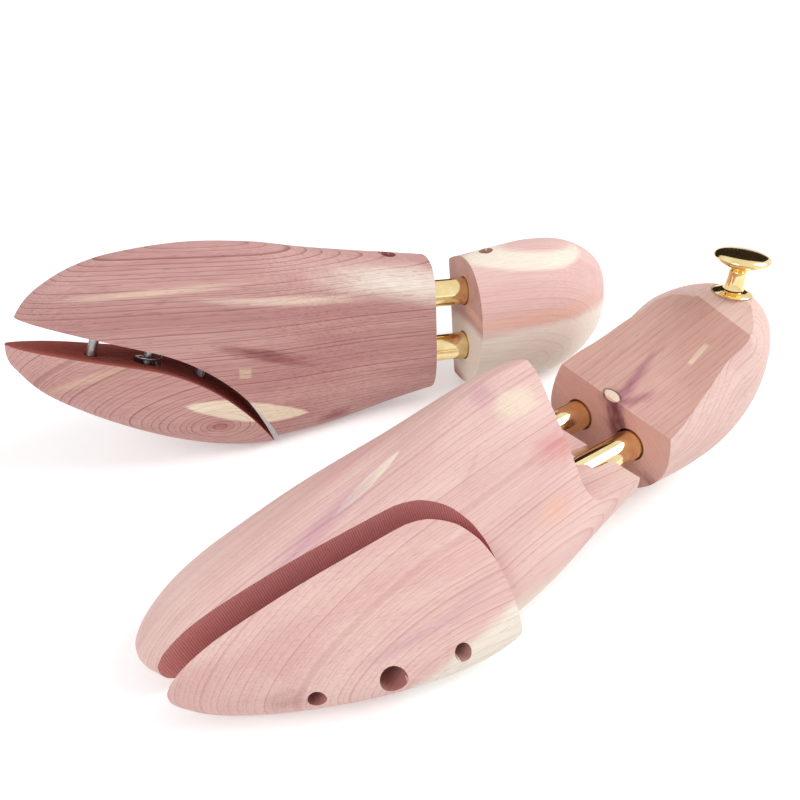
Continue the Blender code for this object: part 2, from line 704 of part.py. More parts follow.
def make_knob(tree):
    seat, axis = knob_seat()
    r, h = KNOB_RADIUS, KNOB_HEIGHT
    stem = KNOB_STEM_RADIUS
    foot = FLANGE_HEIGHT + GAP
    socket = STUD_RADIUS + STUD_CLEARANCE
    deep = foot + STUD_IN_KNOB + GAP
    knob = [
        (0, h),
        (0.45 * r, h - 0.15 * MM),
        (0.8 * r, h - 0.6 * MM),
        (0.96 * r, h - 1.4 * MM),
        (r, h - 2.3 * MM),
        (0.96 * r, h - 3.2 * MM),
        (0.82 * r, h - 4.6 * MM),
        (0.6 * r, h - 6 * MM),
        (stem + 1 * MM, h - 7.4 * MM),
        (stem, h - 9 * MM),
        (stem, foot + 3 * MM),
        (stem + 0.5 * MM, foot + 1 * MM),
        (stem + 0.8 * MM, foot),
        (socket, foot),
        (socket, deep),
        (0, deep),
    ]
    tree.turned("knob", knob, seat, axis, tree.heel, "brass")
    rim = FLANGE_RADIUS
    low = GAP
    flange = [
        (stem + 1.2 * MM, FLANGE_HEIGHT),
        (0.75 * rim, FLANGE_HEIGHT - 0.5 * MM),
        (0.95 * rim, FLANGE_HEIGHT - 1.1 * MM),
        (rim, low + 0.5 * MM),
        (0.97 * rim, low),
        (socket, low),
        (socket, FLANGE_HEIGHT),
    ]
    tree.turned("knob_flange", flange, seat, axis, tree.heel, "brass")
    start, end = seat - axis * STUD_IN_HEEL, seat + axis * (foot + STUD_IN_KNOB)
    tree.rod("knob_stud", STUD_RADIUS, start, end, tree.heel, "steel")


def make_tube(tree, label, y):
    # Slotted ahead for the forepart's pin, drilled for the heel's pin.
    start = (tube_front_x(), y, TUBE_HEIGHT)
    end = (tube_rear_x(), y, TUBE_HEIGHT)
    tube = tree.rod(label + "tube", TUBE_RADIUS, start, end, tree.heel, "brass", sides=TUBE_SIDES)
    before, after = (start[0] - MM, y, TUBE_HEIGHT), (end[0] + MM, y, TUBE_HEIGHT)
    inside = TUBE_RADIUS - TUBE_WALL
    tree.cut(tube, tree.rod(label + "tube_inside_cut", inside, before, after, tree.heel, sides=TUBE_SIDES))
    half = CROSS_PIN_RADIUS + SLOT_CLEARANCE
    reach = TUBE_RADIUS + MM
    slot = slot_outline(FORE_PIN_X, FORE_PIN_X + HEEL_TRAVEL, half)
    tree.cut(tube, tree.prism(label + "slot_cut", slot, ACROSS, -y - reach, -y + reach, tree.heel))
    hole = slot_outline(HEEL_PIN_X, HEEL_PIN_X, CROSS_PIN_RADIUS + GAP)
    tree.cut(tube, tree.prism(label + "pin_hole_cut", hole, ACROSS, -y - reach, -y + reach, tree.heel))
    return tube


def slot_outline(first_x, last_x, half):
    # A slot with round ends in X and Z, at the height of the tubes.
    outline = []
    steps = 5
    for x, turn in ((last_x, -math.pi / 2), (first_x, math.pi / 2)):
        for i in range(steps + 1):
            angle = turn + math.pi * i / steps
            outline.append((x + half * math.cos(angle), TUBE_HEIGHT + half * math.sin(angle)))
    if first_x == last_x:
        outline = outline[:steps] + outline[steps + 1 : -1]
    return outline


def make_tube_insides(tree, label, y):
    # Between the two cross pins: a seat, the heel's spring and a plug.
    radius = TUBE_RADIUS - TUBE_WALL - INSIDE_CLEARANCE
    seat_start = FORE_PIN_X + CROSS_PIN_RADIUS + GAP
    seat_end = seat_start + SEAT_LENGTH
    start, end = (seat_start, y, TUBE_HEIGHT), (seat_end, y, TUBE_HEIGHT)
    tree.rod(label + "spring_seat", radius, start, end, tree.root, "nylon", sides=TUBE_SIDES)
    plug_end = HEEL_PIN_X - CROSS_PIN_RADIUS - GAP
    plug_start = plug_end - PLUG_LENGTH
    start, end = (plug_start, y, TUBE_HEIGHT), (plug_end, y, TUBE_HEIGHT)
    tree.rod(label + "spring_plug", radius, start, end, tree.heel, "nylon", sides=TUBE_SIDES)
    wire = TUBE_SPRING_WIRE
    start = (seat_end + wire + GAP, y, TUBE_HEIGHT)
    end = (plug_start - wire - GAP, y, TUBE_HEIGHT)
    tree.coil(label + "spring", start, end, radius - wire, wire, TUBE_SPRING_TURNS, tree.heel)


def make_cross_pin(tree, label, x, parent):
    start, end = (x, -CROSS_PIN_HALF_LENGTH, TUBE_HEIGHT), (x, CROSS_PIN_HALF_LENGTH, TUBE_HEIGHT)
    tree.rod(label + "cross_pin", CROSS_PIN_RADIUS, start, end, parent, "steel")


def make_split_hardware(tree):
    out = out_3d(tree.outward())
    opening = tree.values["opening"]
    for label, along in guide_pin_places().items():
        place = split_point(tree, along, 0)
        start, end = place - out * GUIDE_PIN_SEAT, place + out * (opening + GUIDE_PIN_REACH)
        tree.rod(label + "guide_pin", GUIDE_PIN_RADIUS, start, end, tree.root, "steel")
    face = bolt_face(tree)
    shoulder = face + out * (SPRING_POCKET_DEPTH + WEB_THICKNESS)
    washer_start, washer_end = shoulder + out * GAP, shoulder + out * (GAP + WASHER_THICKNESS)
    radius = BOLT_HEAD_RADIUS + 0.3 * MM
    washer = tree.rod("bolt_washer", radius, washer_start, washer_end, tree.split, "steel", sides=20)
    shank = BOLT_RADIUS + GAP
    tree.cut(washer, tree.rod("washer_cut", shank, shoulder - out * MM, washer_end + out * MM, tree.split))
    kerf = split_point(tree, 0, 0)
    pocket = kerf - out * SPRING_POCKET_DEPTH
    insert_start, insert_end = pocket - out * GAP, pocket - out * (GAP + INSERT_LENGTH)
    insert = tree.rod("tie_insert", INSERT_RADIUS, insert_start, insert_end, tree.root, "brass")
    bolt_tip = insert_end + out * 1.5 * MM
    insert_room = tree.rod("insert_room_cut", shank, insert_start + out * MM, bolt_tip - out * GAP, tree.root)
    tree.cut(insert, insert_room)
    head_start = washer_end + out * GAP
    bm = bmesh.new()
    add_rod(bm, BOLT_RADIUS, bolt_tip, head_start + out * 0.5 * MM, PIN_SIDES)
    bolt = tree.mesh("tie_bolt", bm, tree.root, "steel")
    head_end = head_start + out * BOLT_HEAD_HEIGHT
    head = tree.rod("bolt_head_join", BOLT_HEAD_RADIUS, head_start, head_end, tree.root, sides=20)
    tree.cut(bolt, head, "UNION")
    socket_start, socket_end = head_end - out * 2 * MM, head_end + out * MM
    tree.cut(bolt, tree.rod("socket_cut", 1.6 * MM, socket_start, socket_end, tree.root, sides=6))
    wire = SPLIT_SPRING_WIRE
    start = pocket + out * (wire + GAP)
    end = face + out * (SPRING_POCKET_DEPTH - wire - GAP)
    tree.coil("split_spring", start, end, SPLIT_SPRING_RADIUS, wire, SPLIT_SPRING_TURNS, tree.split)


def build_tree(values, parts, cutters, finishes):
    tree = Tree(values, parts, cutters, finishes)
    make_fixed_forepart(tree)
    make_split_forepart(tree)
    make_split_hardware(tree)
    make_heel_block(tree)
    make_cross_pin(tree, "fore_", FORE_PIN_X, tree.root)
    make_cross_pin(tree, "heel_", HEEL_PIN_X, tree.heel)
    for label, y in tube_sides().items():
        make_tube(tree, label, y)
        make_tube_insides(tree, label, y)
    make_knob(tree)
    return tree


def lowest(obj, turn):
    # Lowest height of an object's evaluated points after a turn about its tree's origin.
    graph = bpy.context.evaluated_depsgraph_get()
    mesh = obj.evaluated_get(graph).to_mesh()
    return min((turn @ obj.matrix_world @ v.co).z for v in mesh.vertices)


def lay_down(tree, parts):
    # Lays the right tree on its outer side, so that both its heel and its toe touch the floor.
    heel = parts.objects[tree.prefix + "heel_block"]
    toe = parts.objects[tree.prefix + "split_forepart"]
    low, high = math.radians(-20), math.radians(30)
    for _ in range(24):
        pitch = (low + high) / 2
        turn = tree_turn(pitch)
        if lowest(heel, turn) > lowest(toe, turn):
            low = pitch
        else:
            high = pitch
    turn = tree_turn(pitch)
    height = -min(lowest(heel, turn), lowest(toe, turn))
    lift = turn @ Vector((0, 0, TUBE_HEIGHT))
    place = Vector((RIGHT_PLACE[0] - lift.x, RIGHT_PLACE[1] - lift.y, height))
    tree.root.matrix_world = Matrix.Translation(place + origin_shift()) @ turn
    print("right tree pitch", round(math.degrees(pitch), 3), "place", [round(v, 6) for v in place])


def tree_turn(pitch):
    yaw = Matrix.Rotation(RIGHT_YAW, 4, "Z")
    return yaw @ Matrix.Rotation(pitch, 4, "Y") @ Matrix.Rotation(RIGHT_ROLL, 4, "X")


def origin_shift():
    return -Vector((toe_tip_x() + SOLE_FLAT_FROM_TOE, SOLE_FLAT_SIDE, 0))


def main():
    clear_scene()
    parts = new_collection("shoe_tree_pair")
    cutters = new_collection("cutters")
    cutters.hide_render = True
    finishes = {name: make_finish(name) for name in FINISHES}
    left = build_tree(LEFT, parts, cutters, finishes)
    right = build_tree(RIGHT, parts, cutters, finishes)
    bpy.context.view_layer.update()
    lay_down(right, parts)
    left.root.location = origin_shift()
    bpy.context.view_layer.update()


main()
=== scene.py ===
import json
import math

import bmesh
import bpy
from mathutils import Matrix, Vector
from mathutils.bvhtree import BVHTree


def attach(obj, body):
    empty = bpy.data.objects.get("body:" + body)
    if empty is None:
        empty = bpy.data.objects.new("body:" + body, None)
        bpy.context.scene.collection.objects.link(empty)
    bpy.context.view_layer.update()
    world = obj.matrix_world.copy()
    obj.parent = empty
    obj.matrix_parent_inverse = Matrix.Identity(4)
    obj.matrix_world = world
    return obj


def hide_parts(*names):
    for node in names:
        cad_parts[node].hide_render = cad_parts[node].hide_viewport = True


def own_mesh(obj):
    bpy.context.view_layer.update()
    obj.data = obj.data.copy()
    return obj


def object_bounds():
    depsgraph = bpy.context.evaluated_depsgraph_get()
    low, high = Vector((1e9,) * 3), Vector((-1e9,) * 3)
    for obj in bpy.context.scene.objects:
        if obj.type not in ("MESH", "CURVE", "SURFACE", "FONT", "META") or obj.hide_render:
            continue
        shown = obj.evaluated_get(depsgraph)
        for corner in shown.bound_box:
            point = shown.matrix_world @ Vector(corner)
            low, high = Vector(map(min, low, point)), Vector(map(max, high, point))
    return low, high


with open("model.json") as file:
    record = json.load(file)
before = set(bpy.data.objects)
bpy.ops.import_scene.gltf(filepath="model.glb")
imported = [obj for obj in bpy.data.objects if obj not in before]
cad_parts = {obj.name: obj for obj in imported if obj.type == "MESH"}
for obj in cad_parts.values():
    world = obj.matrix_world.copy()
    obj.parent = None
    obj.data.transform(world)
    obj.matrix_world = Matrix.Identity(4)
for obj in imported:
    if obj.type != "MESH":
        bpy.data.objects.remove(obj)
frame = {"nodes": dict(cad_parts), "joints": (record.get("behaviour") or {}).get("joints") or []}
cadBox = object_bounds()
print("frame loaded:", len(frame["nodes"]), "nodes")

# each tree's directions: along its tubes, across its open toe and square to its sole
treeSides = ("left", "right")
slides = {joint["name"]: joint for joint in frame["joints"]}
lengthOf = {side: Vector(slides[side + "_heel_slide"]["axis"]).normalized() for side in treeSides}
openingOf = {side: Vector(slides[side + "_split_slide"]["axis"]).normalized() for side in treeSides}
uprightOf = {side: lengthOf[side].cross(openingOf[side]).normalized() for side in treeSides}


# node helpers; an input is a plain value or the socket that feeds it
def addNode(tree, kind, inputs=None, **settings):
    node = tree.nodes.new(kind)
    for name, value in settings.items():
        setattr(node, name, value)
    for name, value in (inputs or {}).items():
        if isinstance(value, bpy.types.NodeSocket):
            tree.links.new(value, node.inputs[name])
        else:
            node.inputs[name].default_value = value
    return node


def maths(tree, operation, first, second=0.0, third=0.0):
    inputs = {0: first, 1: second, 2: third}
    return addNode(tree, "ShaderNodeMath", inputs, operation=operation).outputs[0]


def vectorMaths(tree, operation, first, second):
    inputs = {0: first, 1: second}
    return addNode(tree, "ShaderNodeVectorMath", inputs, operation=operation).outputs[0]


def scaled(tree, vector, factor):
    inputs = {0: vector, "Scale": factor}
    return addNode(tree, "ShaderNodeVectorMath", inputs, operation="SCALE").outputs[0]


def vectorLength(tree, vector):
    return addNode(tree, "ShaderNodeVectorMath", {0: vector}, operation="LENGTH").outputs["Value"]


def separated(tree, vector):
    return addNode(tree, "ShaderNodeSeparateXYZ", {0: vector}).outputs


def noise(tree, vector, scale, detail, roughness=0.5, distortion=0.0):
    inputs = {"Vector": vector, "Scale": scale, "Detail": detail, "Roughness": roughness,
              "Distortion": distortion}
    return addNode(tree, "ShaderNodeTexNoise", inputs).outputs


def fade(tree, value, start, end, low=0.0, high=1.0):
    inputs = {"Value": value, "From Min": start, "From Max": end, "To Min": low, "To Max": high}
    return addNode(tree, "ShaderNodeMapRange", inputs, interpolation_type="SMOOTHSTEP").outputs[0]


def mixColour(tree, amount, under, over, blend="MIX"):
    inputs = {0: amount, 6: under, 7: over}  # the colour sockets of a Mix node
    return addNode(tree, "ShaderNodeMix", inputs, data_type="RGBA", blend_type=blend).outputs[2]


def turnFor(direction):
    return Vector(direction).to_track_quat("X", "Z").to_euler()


def mapped(tree, place, at, along, reach=(1, 1, 1)):
    inputs = {"Vector": place, "Location": at, "Rotation": turnFor(along), "Scale": reach}
    return addNode(tree, "ShaderNodeMapping", inputs, vector_type="TEXTURE").outputs[0]


def addBump(tree, shader, height, strength, relief):
    bump = addNode(tree, "ShaderNodeBump", {"Height": height, "Strength": strength, "Distance": relief})
    tree.links.new(bump.outputs[0], shader.inputs["Normal"])


# a colour as it is seen, 0 to 255, made linear
def tone(red, green, blue):
    linear = []
    for value in (red, green, blue):
        share = value / 255
        linear.append(share / 12.92 if share <= 0.04045 else ((share + 0.055) / 1.055) ** 2.4)
    return (*linear, 1.0)


# every group takes a place as Vector and puts out masks
def newGroup(name, values, masks):
    group = bpy.data.node_groups.new(name, "ShaderNodeTree")
    group.interface.new_socket(name="Vector", in_out="INPUT", socket_type="NodeSocketVector")
    for label, value in values.items():
        socket = group.interface.new_socket(name=label, in_out="INPUT", socket_type="NodeSocketFloat")
        socket.default_value = value
    for label in masks:
        group.interface.new_socket(name=label, in_out="OUTPUT", socket_type="NodeSocketFloat")
    return group, group.nodes.new("NodeGroupInput").outputs, group.nodes.new("NodeGroupOutput").inputs


def useGroup(tree, group, inputs):
    return addNode(tree, "ShaderNodeGroup", inputs, node_tree=group).outputs


ringValues = {
    "swellSize": (6, 17, 17), "swellShift": (3.1, 7.7, 1.3),  # slow waves that bend the rings
    "swellDetail": 2.5, "swellRoughness": 0.45,
    "yearStep": 0.37, "yearSpread": 2.2,  # wide and narrow years
    "lineStart": 0.74, "lineEnd": 0.95,  # the dark late wood, as a share of a ring
}


# growth rings round a pith that runs along the local X axis
def makeRingGroup():
    group, given, result = newGroup(
        "growthRings", {"Spacing": 0.0015, "Wobble": 0.002, "Seed": 0.0}, ["Line", "Ramp", "Ring"])
    moved = vectorMaths(group, "MULTIPLY", given["Vector"], ringValues["swellSize"])
    moved = vectorMaths(group, "ADD", moved, ringValues["swellShift"])
    swell = noise(group, moved, 1.0, ringValues["swellDetail"], ringValues["swellRoughness"])
    offCentre = vectorMaths(group, "SUBTRACT", swell["Color"], (0.5, 0.5, 0.5))
    push = scaled(group, offCentre, given["Wobble"])
    axes = separated(group, vectorMaths(group, "ADD", given["Vector"], push))
    squares = maths(group, "ADD", maths(group, "MULTIPLY", axes["Y"], axes["Y"]),
                    maths(group, "MULTIPLY", axes["Z"], axes["Z"]))
    turns = maths(group, "DIVIDE", maths(group, "SQRT", squares), given["Spacing"])
    seeded = maths(group, "ADD", turns, given["Seed"])
    years = {"W": maths(group, "MULTIPLY", seeded, ringValues["yearStep"]), "Scale": 1.0, "Detail": 1.0}
    width = addNode(group, "ShaderNodeTexNoise", years, noise_dimensions="1D").outputs[0]
    uneven = maths(group, "MULTIPLY_ADD", width, ringValues["yearSpread"], seeded)
    ramp = maths(group, "FRACT", uneven)
    rise = fade(group, ramp, ringValues["lineStart"], ringValues["lineEnd"])
    drop = fade(group, ramp, ringValues["lineEnd"], 1.0, 1.0, 0.0)
    year = {"W": maths(group, "FLOOR", uneven)}
    ring = addNode(group, "ShaderNodeTexWhiteNoise", year, noise_dimensions="1D").outputs["Value"]
    group.links.new(maths(group, "MULTIPLY", rise, drop), result["Line"])
    group.links.new(ramp, result["Ramp"])
    group.links.new(ring, result["Ring"])
    return group


fibreValues = {  # size is how often each repeats along and across the grain, low to high where it fades in
    "Band": {"size": (7, 75, 75), "detail": 3.0, "roughness": 0.55, "low": 0.3, "high": 0.7},
    "Fibre": {"size": (60, 2400, 2400), "detail": 2.0, "roughness": 0.55, "low": 0.25, "high": 0.75},
    "Fleck": {"size": (150, 2300, 2300), "detail": 1.0, "roughness": 0.5, "low": 0.64, "high": 0.76},
}


# broad bands of tone, long fibres and small dark flecks, all along the local X axis
def makeFibreGroup():
    group, given, result = newGroup("woodFibre", {"Seed": 0.0}, list(fibreValues))
    seeded = addNode(group, "ShaderNodeCombineXYZ", {"X": given["Seed"], "Y": given["Seed"]}).outputs[0]
    for label, values in fibreValues.items():
        stretched = vectorMaths(group, "MULTIPLY", given["Vector"], values["size"])
        moved = vectorMaths(group, "ADD", stretched, seeded)
        streak = noise(group, moved, 1.0, values["detail"], values["roughness"], 0.2)[0]
        group.links.new(fade(group, streak, values["low"], values["high"]), result[label])
    return group


# a patch of other wood: full inside the unit sphere, or the unit cube where it is square, and ragged
# at its rim; pointed draws its ends along X out to a lens
def makePatchGroup():
    group, given, result = newGroup(
        "patchMask", {"Soft": 0.2, "Ragged": 0.3, "Fineness": 3.0, "Square": 0.0, "Pointed": 0.0}, ["Mask"])
    rough = noise(group, given["Vector"], given["Fineness"], 3.0, 0.6)[0]
    positive = addNode(group, "ShaderNodeVectorMath", {0: given["Vector"]}, operation="ABSOLUTE").outputs[0]
    axes = separated(group, positive)
    crossways = addNode(group, "ShaderNodeCombineXYZ", {"X": axes["Y"], "Y": axes["Z"]}).outputs[0]
    across = vectorLength(group, crossways)
    lifted = maths(group, "MULTIPLY_ADD", maths(group, "SUBTRACT", 1.0, across), given["Pointed"], across)
    lens = addNode(group, "ShaderNodeCombineXYZ", {"X": axes["X"], "Y": lifted}).outputs[0]
    reach = vectorLength(group, lens)
    block = maths(group, "MAXIMUM", axes["X"], maths(group, "MAXIMUM", axes["Y"], axes["Z"]))
    distance = maths(group, "MULTIPLY_ADD", maths(group, "SUBTRACT", block, reach), given["Square"], reach)
    ragged = maths(group, "MULTIPLY_ADD", maths(group, "SUBTRACT", rough, 0.5), given["Ragged"], distance)
    start = maths(group, "SUBTRACT", 1.0, given["Soft"])
    group.links.new(fade(group, ragged, start, 1.0, 1.0, 0.0), result["Mask"])
    return group


sawValues = {  # turns are in radians to the metre
    "Mark": {"turns": 6970.0, "slant": 0.32},
    "Cross": {"turns": 9860.0, "slant": -0.75},
    "waverSize": 260.0, "waver": 0.0005, "skew": 0.6, "low": -0.6, "high": 0.9,
}


# marks left in the kerf by the band saw
def makeSawGroup():
    labels = ("Mark", "Cross")
    group, given, result = newGroup("sawMarks", {}, labels)
    waver = noise(group, given["Vector"], sawValues["waverSize"], 2.0)["Color"]
    nudge = scaled(group, waver, sawValues["waver"])
    axes = separated(group, vectorMaths(group, "ADD", given["Vector"], nudge))
    run = maths(group, "SUBTRACT", axes["X"], maths(group, "MULTIPLY", axes["Y"], sawValues["skew"]))
    for label in labels:
        place = maths(group, "MULTIPLY_ADD", axes["Z"], sawValues[label]["slant"], run)
        wave = maths(group, "SINE", maths(group, "MULTIPLY", place, sawValues[label]["turns"]))
        group.links.new(fade(group, wave, sawValues["low"], sawValues["high"]), result[label])
    return group


growthRings = makeRingGroup()
woodFibre = makeFibreGroup()
patchMask = makePatchGroup()
sawMarks = makeSawGroup()
print("shader groups made")


def newMaterial(name):
    material = bpy.data.materials.new(name)
    material.use_nodes = True
    shader = next(node for node in material.node_tree.nodes if node.type == "BSDF_PRINCIPLED")
    return material, shader


def objectPlace(tree):
    return addNode(tree, "ShaderNodeTexCoord").outputs["Object"]


cedarValues = {
    "bandTone": 0.66, "rampTone": 0.2, "ringTone": 0.14,  # what leads the tone from pale to deep
    "lineLeast": 0.3, "lineSpread": 0.7, "creamLine": -0.55,  # a ring's dark line is fainter in cream wood
    "lineHeight": 0.5, "bump": 0.6, "relief": 0.00004,
    "fibreRoughness": 0.12, "specular": 0.35,
}
# the kerf's tint paints sawn wood darker, partly as the shade in the narrow gap; the bores' tint paints the
# shade inside the holes
sawnValues = {
    "kerfShadeTint": 0.92, "markShare": 0.55, "crossShare": 0.45, "markHeight": 2.0, "relief": 0.0001,
    "boreShadeTint": 0.75, "roughness": 0.85, "specular": 0.05,
}
plainPatch = {
    "soft": 0.25, "ragged": 0.35, "fineness": 2.5, "square": 0.0, "pointed": 0.0,
    "strength": 1.0, "cream": False,
}


# cut is the finish of a face: outside, bore, kerf or facet; the bore's darker colour is painted shade, the
# kerf's is sawn wood painted darker partly as shade
def cedarMaterial(name, look, cut):
    material, shader = newMaterial(name)
    tree = material.node_tree
    place = objectPlace(tree)
    pith = Vector(look["middle"]) - Vector(look["outward"]).normalized() * look["pithDepth"]
    rings = useGroup(tree, growthRings, {
        "Vector": mapped(tree, place, pith, look["along"]), "Spacing": look["ringWidth"],
        "Wobble": look["wobble"], "Seed": look["seed"]})
    grain = mapped(tree, place, pith, look.get("grain", look["along"]))
    fibre = useGroup(tree, woodFibre, {"Vector": grain, "Seed": look["seed"]})

    pale, deep = (look["facetPale"], look["facetDeep"]) if cut == "facet" else (look["pale"], look["deep"])
    share = maths(tree, "MULTIPLY", fibre["Band"], cedarValues["bandTone"])
    share = maths(tree, "MULTIPLY_ADD", rings["Ring"], cedarValues["ringTone"], share)
    share = maths(tree, "MULTIPLY_ADD", rings["Ramp"], cedarValues["rampTone"], share)
    colour = mixColour(tree, share, tone(*pale), tone(*deep))

    creamMasks = []
    for listed in look["patches"]:
        patch = {**plainPatch, **listed}
        spot = mapped(tree, place, patch["at"], patch["along"], patch["reach"])
        mask = useGroup(tree, patchMask, {
            "Vector": spot, "Soft": patch["soft"], "Ragged": patch["ragged"], "Fineness": patch["fineness"],
            "Square": patch["square"], "Pointed": patch["pointed"]})["Mask"]
        mask = maths(tree, "MULTIPLY", mask, patch["strength"])
        colour = mixColour(tree, mask, colour, tone(*patch["colour"]))
        if patch["cream"]:
            creamMasks.append(mask)

    dark = maths(tree, "MULTIPLY_ADD", rings["Ring"], cedarValues["lineSpread"], cedarValues["lineLeast"])
    lineDepth = maths(tree, "MULTIPLY", maths(tree, "MULTIPLY", rings["Line"], dark), look["lineStrength"])
    for mask in creamMasks:
        kept = maths(tree, "MULTIPLY_ADD", mask, cedarValues["creamLine"], 1.0)
        lineDepth = maths(tree, "MULTIPLY", lineDepth, kept)
    fibreDepth = maths(tree, "MULTIPLY", fibre["Fibre"], look["fibreStrength"])
    fleckDepth = maths(tree, "MULTIPLY", fibre["Fleck"], look["fleckStrength"])
    for depth in (lineDepth, fibreDepth, fleckDepth):
        colour = mixColour(tree, depth, colour, tone(*look["line"]), "MULTIPLY")

    height = maths(tree, "MULTIPLY_ADD", rings["Line"], cedarValues["lineHeight"], fibre["Fibre"])
    relief, sanded, specular = cedarValues["relief"], look["roughness"], cedarValues["specular"]
    # the kerf's saw marks are real; its darker, redder colours are partly painted shade of the narrow gap
    if cut == "kerf":
        saw = useGroup(tree, sawMarks, {"Vector": place})
        marks = maths(tree, "MULTIPLY", saw["Mark"], sawnValues["markShare"])
        marks = maths(tree, "MULTIPLY_ADD", saw["Cross"], sawnValues["crossShare"], marks)
        shadedCut = mixColour(tree, sawnValues["kerfShadeTint"], colour, tone(*look["kerfShadeDeep"]))
        colour = mixColour(tree, marks, shadedCut, tone(*look["kerfShadePale"]))
        height = maths(tree, "MULTIPLY_ADD", marks, sawnValues["markHeight"], height)
        relief = sawnValues["relief"]
    # painted shade: a bore's wood is mixed towards a dark colour, as the shade inside a hole
    if cut == "bore":
        colour = mixColour(tree, sawnValues["boreShadeTint"], colour, tone(*look["boreShadeColour"]))
    if cut in ("kerf", "bore"):
        sanded, specular = sawnValues["roughness"], sawnValues["specular"]
    rough = maths(tree, "MULTIPLY_ADD", fibre["Fibre"], cedarValues["fibreRoughness"], sanded)
    tree.links.new(colour, shader.inputs["Base Color"])
    tree.links.new(rough, shader.inputs["Roughness"])
    addBump(tree, shader, height, cedarValues["bump"], relief)
    shader.inputs["Specular IOR Level"].default_value = specular
    return material


cloudValues = {"detail": 3.0, "low": 0.35, "high": 0.7}  # the slight clouding that all the metals share


def metalMaterial(name, look):
    material, shader = newMaterial(name)
    tree = material.node_tree
    place = objectPlace(tree)
    blotch = noise(tree, place, look["blotchSize"], cloudValues["detail"])[0]
    cloud = fade(tree, blotch, cloudValues["low"], cloudValues["high"])
    colour = mixColour(tree, cloud, tone(*look["bright"]), tone(*look["dull"]))
    rough = maths(tree, "MULTIPLY_ADD", cloud, look["roughnessSpread"], look["roughness"])
    if "seam" in look:
        seam = look["seam"]
        axes = separated(tree, mapped(tree, place, seam["at"], seam["along"]))
        angle = maths(tree, "ARCTAN2", axes["Y"], axes["Z"])
        away = maths(tree, "ABSOLUTE", maths(tree, "SUBTRACT", angle, seam["angle"]))
        line = fade(tree, away, seam["width"] * 0.5, seam["width"], 1.0, 0.0)
        colour = mixColour(tree, line, colour, tone(*seam["colour"]))
        rough = maths(tree, "MULTIPLY_ADD", line, seam["roughness"], rough)
    tree.links.new(colour, shader.inputs["Base Color"])
    tree.links.new(rough, shader.inputs["Roughness"])
    scratches = noise(tree, vectorMaths(tree, "MULTIPLY", place, look["scratch"]), 1.0, 2.0)[0]
    addBump(tree, shader, scratches, look["bump"], look["relief"])
    shader.inputs["Metallic"].default_value = 1.0
    return material


# how a copy's faces are joined and told apart
cutValues = {
    "clear": 0.0002,  # metres off its face where a probe starts
    "kerfReach": 0.016, "boreReach": 0.0122,  # metres within which the facing wall lies
    "upright": 0.02,  # cosine, the most that a kerf's wall leans
    "sameWay": 0.9995, "square": 0.99, "slope": 0.7,  # cosines between directions
    "merge": 0.00001,  # metres
    "flatEdge": math.radians(5), "quadBend": math.radians(30), "quadSkew": math.radians(50),
}


def solidTree(nodeName):
    mesh = frame["nodes"][nodeName].data
    places = [corner.co.copy() for corner in mesh.vertices]
    return BVHTree.FromPolygons(places, [tuple(face.vertices) for face in mesh.polygons])


def wallAhead(face, solid, reach):
    start = face.calc_center_median() + face.normal * cutValues["clear"]
    return solid.ray_cast(start, face.normal, reach)[0] is not None


def planeKey(face):
    reach = face.calc_center_median().dot(face.normal)
    return (*(round(value, 2) for value in face.normal), round(reach, 3))


# the faces of wide flats, apart from the sole's
def flatFaces(shape, side, leastArea):
    areas = {}
    for face in shape.faces:
        key = tuple(round(value, 2) for value in face.normal)
        areas[key] = areas.get(key, 0) + face.calc_area()
    wide = [Vector(key).normalized() for key, area in areas.items() if area > leastArea]
    flats = {face for face in shape.faces
             if any(face.normal.dot(normal) > cutValues["sameWay"] for normal in wide)}
    return {face for face in flats if abs(face.normal.dot(uprightOf[side])) < cutValues["square"]}


# the sloping cut and the front of a heel; the front takes the cut's darker finish partly as painted shade
# on that side
def heelCuts(flats, side):
    return {face for face in flats
            if cutValues["slope"] < abs(face.normal.dot(uprightOf[side])) < cutValues["square"]
            or face.normal.dot(lengthOf[side]) < -cutValues["square"]}


# upright faces that look across the kerf at the other half; they take the kerf's sawn finish, painted
# darker partly as the gap's shade
def kerfWalls(shape, nodeName, side):
    other = "_fixed_forepart" if nodeName.endswith("split_forepart") else "_split_forepart"
    otherHalf = solidTree(side + other)
    return {face for face in shape.faces
            if abs(face.normal.dot(uprightOf[side])) <= cutValues["upright"]
            and wallAhead(face, otherHalf, cutValues["kerfReach"])}


# material 0 is the outside, 1 the bores, painted darker as the shade inside the holes, and 2 the kerf's
# walls, sawn and painted darker partly as the gap's shade, or the heel's cuts
def markCuts(shape, nodeName, side, flats):
    cuts = heelCuts(flats, side) if nodeName.endswith("heel_block") else kerfWalls(shape, nodeName, side)
    cutPlanes = {planeKey(face) for face in cuts}
    solid = solidTree(nodeName)
    for face in shape.faces:
        if planeKey(face) in cutPlanes:
            face.material_index = 2
        # faces with their own wall close ahead lie inside holes and take the bores' painted shade
        elif wallAhead(face, solid, cutValues["boreReach"]):
            face.material_index = 1


